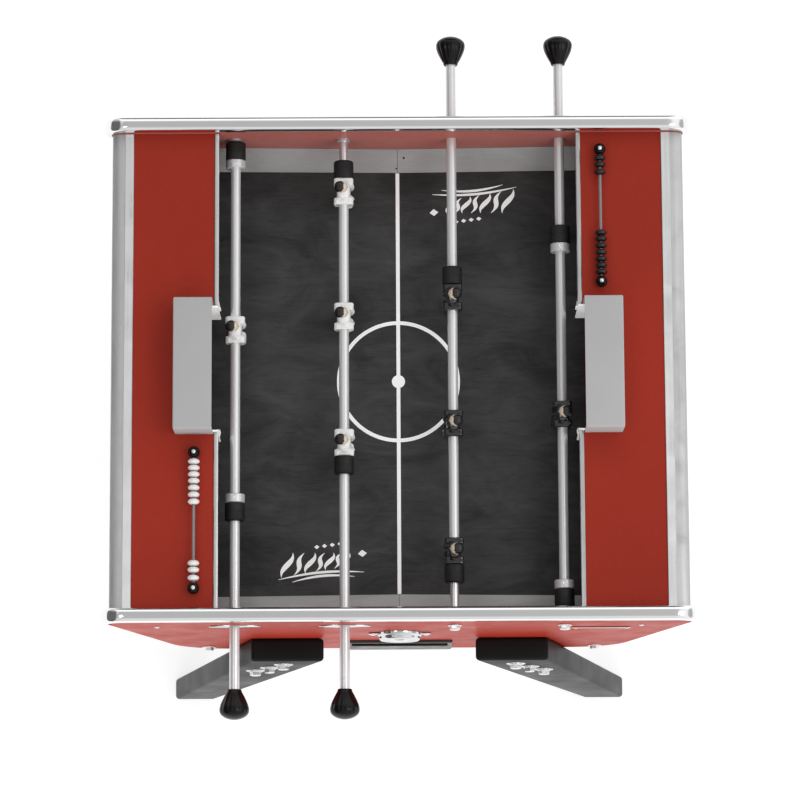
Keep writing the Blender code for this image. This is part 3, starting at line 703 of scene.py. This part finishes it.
def ornament(name, degrees):
    """A plain geometric ornament: slanted leaves of falling size over a swash, with lozenges."""
    low, high = PRINT_LOW, PRINT_HIGH
    shape = Shape()
    place = turn("Z", degrees) @ move(-0.124, -0.299, 0.0) @ turn("Z", 5)
    count = 20
    for index in range(7):
        size = 0.0400 - 0.0040 * index + 0.00022 * index * index
        x = -0.056 + 0.0200 * index - 0.00072 * index * index
        path, widths = [], []
        for i in range(count + 1):
            t = i / count
            curl = 0.0034 * math.sin(math.tau * t) * (1 if index % 2 else -1)
            path.append((x + (t - 0.5) * size * 0.55 + curl, 0.005 + (t - 0.5) * size * 0.95))
            widths.append(0.0006 + (0.0078 - 0.0004 * index) * math.sin(math.pi * t) ** 1.3)
        shape.loft(stroke(path, widths, low, high + 0.00001 * index), place)
    for start, reach, drop in ((-0.072, 0.138, 0.0), (-0.050, 0.100, 0.0058)):
        path, widths = [], []
        for i in range(2 * count + 1):
            t = i / (2 * count)
            bow = 0.0090 * math.sin(math.pi * (0.12 + 0.76 * t))
            path.append((start + reach * t, -0.0205 - drop + bow))
            widths.append(0.0006 + 0.0034 * math.sin(math.pi * t))
        shape.loft(stroke(path, widths, low, high + 0.00011), place)
    for x, y, size in mm((66, 13, 7.2), (-6, 30, 4.2), (6.5, 30.6, 4.2), (19, 31.2, 4.2), (31.5, 31.8, 4.2)):
        lozenge = [(x + size, y), (x, y + size * 0.8), (x - size, y), (x, y - size * 0.8)]
        shape.plate(lozenge, low, high, matrix=place)
    put(name, shape, GLOWING_INK, sharp=30)


def ramp_details():
    """The joint at the middle of each ramp, and two small black domes on the far ramp that paint shade at
    two small dark spots.
    """
    for place, side in SIDES:
        foot, top = side * 0.3476, side * (INNER_WALL - 0.0004)
        line = [(foot, PITCH_TOP + 0.0012), (top, 0.7759), (top, 0.77628), (foot, PITCH_TOP + 0.00145)]
        shape = Shape().loft([[(x, y, z) for y, z in line] for x in (-0.00035, 0.00035)])
        put("ramp_seam_" + place, shape, SEAM)
    slope = math.degrees(math.atan2(0.012, 0.036))
    # Two small black domes: painted shade at two small dark spots on the far ramp
    shape = Shape()
    for x, y, r in ((0.0105, 0.3700, 0.0017), (-0.0020, 0.3535, 0.0013)):
        z = PITCH_TOP + 0.0011 + (y - 0.347) * 0.012 / 0.0365
        seat = move(x, y, z + 0.0003) @ turn("X", slope)
        shape.turned([(0.0, 0.0), (r * 0.9, 0.0), (r, 0.00015), (r * 0.8, 0.0004), (0.0, 0.0003)], 20, seat)
    put("ramp_shade_dots", shape, BLACK)


# Rods


def rod_tube(name):
    """The polished tube, its bright open end at the wall and, on a keeper, its two shaft collars."""
    low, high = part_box("rod_tube_" + name)
    start, end = low.y, high.y
    chamfer = 0.0003
    profile = [(TUBE_BORE, start), (TUBE_R - chamfer, start), (TUBE_R, start + chamfer)]
    profile += [(TUBE_R, end - chamfer), (TUBE_R - chamfer, end), (TUBE_BORE, end)]
    seat, along = move(ROD_X[name], 0, ROD_Z), turn("X", -90)
    tube = Shape().turned(profile, 48, along, closed=True)
    put("tube_" + name, tube, TUBE, "rod_tube_" + name, "rod_" + name, seat)
    if not name.endswith("keeper"):
        return
    collars = Shape()
    for place, side in (("far", -1), ("near", 1)):
        bumper_low, bumper_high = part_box(f"bumper_{name}_{place}")
        edge = bumper_low.y - 0.0004 if place == "far" else bumper_high.y + 0.0004
        y0, y1 = sorted((edge, edge + side * 0.0138))
        r, bore, c = COLLAR_R, TUBE_R + 0.0001, 0.0011
        ring = [(bore, y0), (r - c, y0), (r, y0 + c), (r, y1 - c), (r - c, y1), (bore, y1)]
        collars.turned(ring, 48, along, closed=True)
        screw = move(0, (y0 + y1) / 2, r - 0.0004)
        collars.turned(mm((0, 0), (3, 0), (3, 0.7), (2.6, 0.9), (0, 0.2)), 24, screw, 1)
    put("collars_" + name, collars, (COLLAR, STEEL), None, "rod_" + name, seat)


def bumpers(name):
    """Rubber bumpers with rounded ends and a fine joint line."""
    for place, side in (("far", 1), ("near", -1)):
        node = f"bumper_{name}_{place}"
        low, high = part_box(node)
        half = (high.y - low.y) / 2
        r, bore, corner = BUMPER_R, TUBE_R + GAP, 0.0032
        profile = [(bore, half)] + arc(r - corner, half - corner, corner, 90, 0, 7)
        profile += [(r, 0.0012), (r - 0.0003, 0.0009), (r - 0.0003, -0.0009), (r, -0.0012)]
        profile += [(r, 0.0018 - half), (r - 0.0006, 0.0006 - half), (r - 0.0018, -half), (bore, -half)]
        seat = move(ROD_X[name], (low.y + high.y) / 2, ROD_Z) @ turn("X", -90 * side)
        shape = Shape().turned(profile, 48, closed=True)
        put("sleeve_" + node, shape, RUBBER, node, "bumpers_" + name, seat)


def inner_bar(name, handle):
    """The fixed bar in the tube, with its wall flange inside, washer and hexagon head outside."""
    low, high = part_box("inner_bar_" + name)
    wall = INNER_WALL + GAP
    outside = -PANEL_FACE + GAP
    start = -high.y if handle > 0 else low.y
    r = BAR_R
    profile = [(0.0, start), (r - 0.0008, start), (r, start + 0.0008), (r, wall - 0.0042)]
    profile += [(0.0102, wall - 0.0042), (0.0112, wall - 0.0034), (0.0112, wall)]
    profile += [(r, wall), (r, outside), (0.0, outside)]
    shape = Shape().turned(profile, 36)
    seat = move(0, 0, outside)
    shape.washer(0.0040, 0.0112, 0.0016, seat)
    shape.hex_head(0.0170, 0.0066, seat @ move(0, 0, 0.0016) @ turn("Z", 11))
    at = move(ROD_X[name], 0, ROD_Z) @ turn("X", 90 * handle)
    put("bar_" + name, shape, STEEL, "inner_bar_" + name, at=at, sharp=28)


def knob(name, handle):
    """A fluted handle knob with a domed end."""
    low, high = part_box("knob_" + name)
    start = min(abs(low.y), abs(high.y))
    socket = TUBE_R + GAP
    outer = mm(
        (9, 0), (10.2, 0), (10.8, 1), (11.5, 4), (13.8, 8), (15.8, 12), (17.7, 16), (19.5, 20), (21, 24),
        (22, 28), (22.5, 31.5), (22.4, 34), (21.8, 36.5), (20.7, 38.8), (19, 40.8), (16.6, 42.8),
        (13.6, 44.6), (9.8, 46.2), (5, 47.4), (0, 47.8),
    )
    profile = [(socket, 0.0222), (socket, 0.0006)] + outer

    def flute(angle, height):
        if not 0.0040 < height < 0.0390:
            return 1.0
        depth = math.sin(math.pi * (height - 0.0040) / 0.0350) ** 0.9
        return 1.0 - 0.045 * depth * max(0.0, math.cos(10 * angle)) ** 1.4

    swell = [(r * 1.05 if r > 0.0095 else r, h) for r, h in profile]
    shape = Shape().turned(swell, 110, shape=flute)
    at = move(ROD_X[name], handle * (start + 0.0011), ROD_Z) @ turn("X", -90 * handle)
    put("grip_" + name, shape, BLACK, "knob_" + name, "rod_" + name, at, 50)


def player_shape():
    """A calm figure clamped on the tube (along local Y), facing +X, with two lugs and their screws."""
    shape = Shape()
    body, hair, skin, eye = range(4)

    def barrel(y0, y1, half_x, half_z, z, power, corner):
        """A rounded block round the tube, pierced by it."""
        rings = []
        for y, shrink in ((y0, corner), (y0 + corner, 0.0), (y1 - corner, 0.0), (y1, corner)):
            outline = oval(0.0, half_x - shrink, half_z - shrink, power, 36)
            rings.append([(a, y, b + z) for a, b, _ in outline])
        rings += [[(a, y, b) for a, b in circle(TUBE_R + 0.0004, 36)] for y in (y1, y0)]
        shape.loft(rings, closed=True)

    barrel(-0.0112, 0.0092, 0.0112, 0.0125, 0.0, 3.0, 0.0010)
    barrel(0.0088, 0.0214, 0.0158, 0.0128, -0.0004, 5.0, 0.0014)
    barrel(-0.0214, -0.0108, 0.0158, 0.0128, -0.0010, 5.0, 0.0014)
    for y in (0.0152, -0.0162):
        for x in (-0.0100, 0.0100):
            screw = mm((0, 2.4), (2.2, 2.2), (2.7, 1.2), (2.7, 0), (0, 0))
            shape.turned(screw, 18, move(x, y, 0.0104), body)
    shoulders = ovals(
        28, (3.2, 8.7, 10.8, 12.2), (3.0, 11, 10.8, 13), (2.8, 16.5, 10.4, 13.4), (2.5, 20, 8.8, 11.8),
        (2.2, 22, 6.2, 8.4),
    )
    shape.loft(shoulders + [mm((-1, 0, 22.7))], index=body)
    arm = ((18, 0, 12.2, 3.2), (13, 3, 12.4, 4), (3, 12.5, 11, 3.8))
    arm += ((-7, 13.8, 9.8, 3.5), (-15, 13, 8.8, 3.2), (-19, 12.2, 8.2, 2.2))
    for side in (-1, 1):
        shape.loft(ovals(16, *[(2.0, z, r, r, x, side * y) for z, x, y, r in arm]), index=body)
    neck = ovals(20, *[(2.0, z, r, r, -4) for z, r in ((20, 5.8), (23.5, 4.8), (31.2, 4.8))])
    shape.loft(neck, index=skin)
    lift, face = move(0, 0, 0.0104), move(0.0020, 0, 0.0104)
    skull = mm(
        (18.6, 2, 2, -2.2), (19.2, 4.6, 4.2, -2.8), (20.8, 6.8, 6, -3.2), (23.2, 8, 7.2, -3.6),
        (26, 8.6, 7.8, -4), (29, 8.7, 8, -4.2), (31.8, 8, 7.5, -4.3), (34.2, 6.2, 5.8, -4.4),
        (35.6, 3.4, 3.2, -4.4),
    )
    head = [oval(z, hx * 1.14, hy * 1.12, 2.1, 28, x + 0.0012) for z, hx, hy, x in skull]
    shape.loft([mm((-2.2, 0, 18.4))] + head + [mm((-4.4, 0, 36.1))], lift, skin)
    nose = ((23.8, 0.8, 4.3), (25, 1.3, 4.8), (26.8, 0.9, 4.6), (28.5, 0.5, 4.2))
    shape.loft(ovals(14, *[(2.0, z, r, r * 0.8, x) for z, r, x in nose]), face, skin)
    for side in (-1, 1):
        seat = face @ move(0.0034, side * 0.0032, 0.0280) @ turn("Y", 90)
        shape.turned(mm((0, 1), (0.7, 0.7), (1, 0), (0, -0.6)), 14, seat, eye)
        seat = lift @ move(-0.0034, side * 0.0086, 0.0262)
        shape.turned(mm((0, 1.6), (0.8, 1.3), (1.2, 0), (0.8, -1.3), (0, -1.6)), 14, seat, skin)
    shape.block((0.0036, -0.0018, 0.0212), (0.0043, 0.0018, 0.0217), 0.0002, 2, face, eye)
    cap = []
    for z, base, grow, back in mm(
        (24.2, 8.3, 0.4, 4.6), (26.8, 8.7, 0.8, 3), (29.5, 8.7, 1, 1.2), (32.2, 7.9, 1.2, 0.2),
        (34.5, 6, 1.4, 0), (36.2, 3.2, 1, 0),
    ):
        half_x, half_y = base + grow - back, base * 0.93 + grow - back * 0.10
        cap.append(oval(z, half_x, half_y, 2.1, 28, -0.0048 - back))
    shape.loft(cap + [mm((-4.4, 0, 37.1))], lift, hair)
    trunk = ovals(
        28, (3.0, -11, 10.6, 11.2), (2.7, -18, 9.2, 10), (2.6, -23, 8.4, 9.4), (2.8, -27, 9, 10),
        (3.0, -36, 9.2, 10.4), (3.0, -38.5, 8.4, 9.8),
    )
    shape.loft(trunk, index=body)
    thigh = ((-37, 6.2, 4.4, -0.6), (-44, 5.8, 4.2, 0), (-50, 5, 3.8, 0.4))
    shin = ((-54.5, 5.6, 4.1, -0.2), (-60, 5, 4, 0), (-64, 5.2, 4.1, 0.4))
    for y in (-4.7, 4.7):
        shape.loft(ovals(20, *[(2.2, *row, y) for row in thigh + shin]), index=body)
    foot = ovals(
        32, (3.2, -60, 7.2, 9.2, 0.2), (3.6, -62.2, 10.2, 10.4, 1.6), (4.0, -67, 11.8, 10.8, 2.4),
        (4.0, -71.5, 12.1, 10.8, 2.5), (4.0, -73.3, 11.6, 10.4, 2.4), (4.0, -74, 10.6, 9.6, 2.4),
    )
    shape.loft(foot, index=body)
    for z in (-65.5, -69):
        inner, outer = (11.6, 10.4, 2.5), (12.2, 11, 2.5)
        rim = ((4.0, z, *inner), (4.0, z + 0.4, *outer), (4.0, z - 0.4, *outer), (4.0, z - 0.8, *inner))
        shape.loft(ovals(32, *rim), index=body)
    return shape


def players(name, team, suffixes):
    towards = turn("Z", 0 if team == "white" else 180)
    for suffix in suffixes:
        figure = name + suffix
        low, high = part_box("player_" + figure)
        seat = move(ROD_X[name], (low.y + high.y) / 2, ROD_Z) @ towards
        finishes = (TEAM[team], HAIR, SKIN, EYE)
        slot, node = team + "_paint", "player_" + figure
        put("figure_" + figure, player_shape(), finishes, node, "rod_" + name, seat, 38)


# Scorers


def scorer(place, side):
    """Ball-headed posts, each held by a bright screw, and the drawn wire between them."""
    balls = Shape()
    foot = DECK_TOP - SCORER_Z + 0.0004
    for y in SCORER_POSTS:
        seat = move(side * SCORER_X, side * y, SCORER_Z)
        profile = [(0.0, 0.0095)] + [(r, h) for h, r in arc(0, 0, 0.0095, 8, 148, 16)]
        balls.turned(profile + [(0.0048, -0.0092), (0.0050, foot), (0.0, foot)], 40, seat)
        screw = mm((0, 1.3), (1.2, 1.2), (2.4, 0.8), (3.3, 0.1), (3.5, -0.8), (0, -1.2))
        balls.turned(screw, 28, seat @ move(0, 0, 0.0090), 1)
    put("scorer_posts_" + place, balls, (BLACK, STEEL), "scorer_frame_" + place, sharp=45)
    wire = Shape().turned(mm((0, -107), (2.4, -107), (2.4, 107), (0, 107)), 24)
    seat = move(side * SCORER_X, side * sum(SCORER_POSTS) / 2, SCORER_Z) @ turn("X", -90)
    put("scorer_wire_" + place, wire, WIRE, at=seat)


def beads(place, side, label, middles):
    """Lens-shaped counting beads on the wire."""
    shape = Shape()
    bore, r, half, edge = 0.0029, 0.0094, 0.0046, 68
    for middle in middles:
        profile = [(bore, half * 0.62)]
        for i in range(11):
            a = math.radians(edge - 2 * edge * i / 10)
            bulge = (1 - math.cos(a)) * 0.0088
            profile.append((r - bulge, half * math.sin(a) / math.sin(math.radians(edge))))
        profile.append((bore, -half * 0.62))
        shape.turned(profile, 36, move(0, middle / 1000, 0) @ turn("X", -90), closed=True)
    node = f"beads_{label}_{place}"
    finish, slot = (WHITE_BEAD, "white_paint") if side < 0 else (BLACK_BEAD, "black_paint")
    put("set_" + node, shape, finish, node, node, move(side * SCORER_X, 0, SCORER_Z), 50)


# Outside of the side panels


def lens(half_x, half_z, count=24):
    """A pointed lens outline."""
    angles = [math.pi * i / count for i in range(count + 1)]
    top = [(half_x * math.cos(a), half_z * math.sin(a) ** 1.25) for a in angles]
    return top + [(x, -z) for x, z in reversed(top[1:-1])]


def panel_fittings(place, side):
    """Lens plates at the handle rods, a thin screwed plate, screws and low bolts."""
    face = side * (-PANEL_FACE + 0.0002)
    for name in [row[0] for row in RODS if row[1] == side]:
        rings = []
        for share, height in ((1.0, 0.0), (1.0, 0.0008), (0.985, 0.0015), (0.90, 0.0019)):
            rings.append([(x * share, z * share, height) for x, z in lens(0.0410, 0.0130)])
        rings += [[(x, z, height) for x, z in circle(0.0095, 48)] for height in (0.0022, 0.0)]
        shape = Shape().loft(rings, closed=True)
        seat = facing(ROD_X[name], face, ROD_Z, side)
        put("escutcheon_" + name, shape, CHROME, at=seat, sharp=26)
    spin = -side
    plate = Shape()
    ends = arc(0.044, 0, 0.0030, -90, 90, 8) + arc(-0.044, 0, 0.0030, 90, 270, 8)
    plate.plate(ends, 0.0, 0.0020, 0.0007, 3)
    for x in (0.040, -0.040):
        plate.turned(mm((0, 3.2), (1.8, 2.9), (2.6, 2), (0, 1.8)), 20, move(x, 0, 0))
    seat = facing(spin * 0.320, face, BATTEN_Z, side)
    put("batten_" + place, plate, CHROME, at=seat, sharp=30)
    screws = Shape()
    for x in (-0.384, 0.382):
        screw = mm((0, 1.8), (1.2, 1.8), (1.6, 2.2), (3.4, 1.7), (4.2, 0.6), (4.2, 0), (0, 0))
        screws.turned(screw, 28, facing(spin * x, face, SCREW_Z, side))
    for x in (-0.316, 0.324):
        seat = facing(spin * x, face, BOLT_Z, side)
        screws.washer(0.0030, 0.0118, 0.0014, seat)
        screws.hex_head(0.0150, 0.0052, seat @ move(0, 0, 0.0014) @ turn("Z", 8))
    put("screws_" + place, screws, STEEL, sharp=28)


def tray():
    """The moulded ball tray: a rounded frame on the panel, a pocket and its raised lip."""
    low, high = TRAY_LOW, TRAY_HIGH
    wall, lip = 0.003, 0.578
    x0, x1, bottom, top = low.x + 0.0045, high.x - 0.0045, low.z + 0.008, high.z - 0.005
    front, back, face = low.y, high.y, PANEL_FACE - 0.0002

    def frame_ring(half, z_low, z_high, y, corner):
        ring = []
        low_z, high_z = z_low + corner, z_high - corner
        for side, z, start in ((1, high_z, 0), (-1, high_z, 90), (-1, low_z, 180), (1, low_z, 270)):
            bend = arc(side * (half - corner), z, corner, start, start + 90, 6)
            ring += [(a, y, b) for a, b in bend]
        return ring

    rings = []
    for inset, y, corner in (
        (0.0, face, 0.006), (0.0, front + 0.0018, 0.006), (0.0006, front + 0.0006, 0.006),
        (0.0018, front, 0.0055),
    ):
        rings.append(frame_ring(high.x - inset, low.z + inset, high.z - inset, y, corner))
    half, head = x1 - wall, top - wall
    rings.append(frame_ring(half + 0.0010, lip - 0.0010, head + 0.0006, front, 0.0045))
    rings += [frame_ring(half, lip, head, y, 0.0040) for y in (front + 0.0010, face)]
    shape = Shape().loft(rings, closed=True)
    floor = bottom + wall
    for a, b, z0, z1 in (
        (x0, x1, bottom, floor), (x0, x1, head, top), (x0, x0 + wall, bottom, top), (half, x1, bottom, top)
    ):
        shape.block((a, face, z0), (b, back, z1), 0.0008, 2)
    for x in (-0.055, -0.0275, 0.0, 0.0275, 0.055):
        start, end = (x - 0.0012, face + 0.006, floor - 0.0003), (x + 0.0012, back - 0.006, floor + 0.0012)
        shape.block(start, end, 0.0005, 2)
    put("tray_moulding", shape, TRAY, "ball_tray", sharp=35)


def service_cup():
    """The bright round cup with its stepped rims and two screw ears."""
    z = (CUP_LOW.z + CUP_HIGH.z) / 2
    profile = mm(
        (0, 3.4), (14, 3.4), (16.5, 4), (18.5, 5.8), (21.5, 9), (24, 11.2), (26.2, 12.4), (28.4, 12.9),
        (30, 12.7), (31.4, 11.8), (32.4, 10.4), (33, 8.4), (33.4, 6.6), (34.2, 5.4), (35.2, 4.6),
        (35.9, 3.4), (36, 0), (0, 0),
    )
    shape = Shape().turned(profile, 72)
    ears = arc(0.0425, 0, 0.0080, -90, 90, 10) + arc(-0.0425, 0, 0.0080, 90, 270, 10)
    shape.plate(ears, 0.0, 0.0026, 0.0008, 3)
    for x in (-0.0430, 0.0430):
        screw = mm((0, 3.6), (1, 3.6), (1.4, 4.4), (3.6, 3.8), (4.6, 2.6), (0, 2.4))
        shape.turned(screw, 28, move(x, 0, 0))
    shape.turned(mm((0, 5.6), (3, 5.2), (4.6, 4.2), (5, 3), (0, 3)), 28)
    seat = facing(0.0, PANEL_FACE - 0.0003, z, -1)
    put("cup", shape, CHROME, "service_cup", at=seat, sharp=40)


# Stage, light and camera


def stage():
    mesh = bpy.data.meshes.new("floor")
    corners = [(-30, -30, 0), (30, -30, 0), (30, 30, 0), (-30, 30, 0)]
    mesh.from_pydata(corners, [], [(0, 1, 2, 3)])
    floor = new_object("floor", mesh)
    made = Finish("studio_floor", 0.9, specular=0.0)
    made.colour(made.ramp(made.noise(1.5, detail=3.0), (0.3, 0.44), (0.7, 0.46)))
    made.glow(0.72)
    mesh.materials.append(made.material)


def world():
    """Soft studio surround: paler towards the right and the near side, grey overhead."""
    made = bpy.data.worlds.new("studio")
    bpy.context.scene.world = made
    made.use_nodes = True
    tree = made.node_tree
    coord = tree.nodes.new("ShaderNodeTexCoord")
    split = tree.nodes.new("ShaderNodeSeparateXYZ")
    tree.links.new(coord.outputs["Generated"], split.inputs["Vector"])

    def band(axis, *row):
        node = map_range(tree, split.outputs[axis], *row)
        node.interpolation_type = "SMOOTHSTEP"
        return node.outputs["Result"]

    def add(first, second):
        node = tree.nodes.new("ShaderNodeMath")
        node.operation = "ADD"
        tree.links.new(first, node.inputs[0])
        tree.links.new(second, node.inputs[1])
        return node.outputs["Value"]

    total = band("Z", 0.95, 0.78, 0.545, 0.92)
    for row in (
        ("X", -0.80, 0.70, -0.18, 0.12), ("X", -0.48, -0.66, 0.0, -0.60), ("X", 0.84, 0.94, 0.0, -0.55),
        ("Y", -0.35, -0.85, 0.0, -0.10), ("Y", 0.40, 0.58, 0.0, 0.36), ("Y", 0.84, 0.91, 0.0, -1.20),
    ):
        total = add(total, band(*row))
    background = fill(tree.nodes["Background"], Color=(1.0, 1.0, 1.0, 1.0))
    tree.links.new(total, background.inputs["Strength"])
    backdrop = fill(tree.nodes.new("ShaderNodeBackground"), Color=(0.97, 0.97, 0.97, 1.0))
    seen = tree.nodes.new("ShaderNodeLightPath")
    joined = tree.nodes.new("ShaderNodeMixShader")
    tree.links.new(seen.outputs["Is Camera Ray"], joined.inputs[0])
    tree.links.new(background.outputs[0], joined.inputs[1])
    tree.links.new(backdrop.outputs[0], joined.inputs[2])
    tree.links.new(joined.outputs[0], tree.nodes["World Output"].inputs["Surface"])


def lamp(name, place, aim, width, depth, power, mirrored=True):
    data = bpy.data.lights.new(name, "AREA")
    data.shape = "RECTANGLE"
    data.size = width
    data.size_y = depth
    data.energy = power
    obj = new_object(name, data)
    obj.location = place
    direction = Vector(aim) - Vector(place)
    obj.rotation_euler = direction.to_track_quat("-Z", "Y").to_euler()
    obj.visible_camera = False
    obj.visible_glossy = mirrored


def lights():
    lamp("key", (2.4, -0.6, 4.6), (0.0, 0.0, 0.8), 1.8, 1.8, 22.0)
    lamp("second", (-1.5, -0.6, 4.8), (0.0, 0.0, 0.8), 0.9, 0.9, 8.0)
    lamp("front", (0.0, -5.0, 1.7), (0.0, 0.0, 0.85), 5.0, 1.6, 112.0, False)


def camera():
    """The photo's camera, almost overhead, solved from the straight edges and the circle."""
    pitch, yaw, roll = math.radians(9.952), math.radians(0.756), math.radians(0.474)
    forward = Vector((math.sin(yaw) * math.sin(pitch), math.cos(yaw) * math.sin(pitch), -math.cos(pitch)))
    level = Vector((math.cos(yaw), -math.sin(yaw), 0.0))
    raised = level.cross(forward)
    right = math.cos(roll) * level + math.sin(roll) * raised
    up = math.cos(roll) * raised - math.sin(roll) * level
    place = Vector((-0.0111, -1.0516, 6.5842))
    data = bpy.data.cameras.new("camera")
    data.sensor_width = 36.0
    data.lens = 164.27
    data.clip_end = 100.0
    obj = new_object("camera", data)
    turned = Matrix((right, up, -forward)).transposed().to_4x4()
    obj.matrix_world = Matrix.Translation(place) @ turned
    bpy.context.scene.camera = obj


cabinet_finishes()
for place, side in SIDES:
    rail(place, side)
    panel_fittings(place, side)
for place, side in ENDS:
    nosing(place, side)
    hood(place, side)
    goal_surround(place, side)
for row in ("near", "far"):
    for column in ("left", "right"):
        leg(row, column)
pitch_print()
ornament("ornament_near", 0)
ornament("ornament_far", 180)
ramp_details()
for name, handle, team, suffixes in RODS:
    rod_tube(name)
    bumpers(name)
    inner_bar(name, handle)
    knob(name, handle)
    players(name, team, suffixes)
for place, side in ENDS:
    scorer(place, side)
for (place, side), (spare, scored) in zip(ENDS, BEADS):
    beads(place, side, "spare", spare)
    beads(place, side, "scored", scored)
tray()
service_cup()
stage()
world()
lights()
camera()
bpy.context.scene.view_settings.view_transform = "Standard"
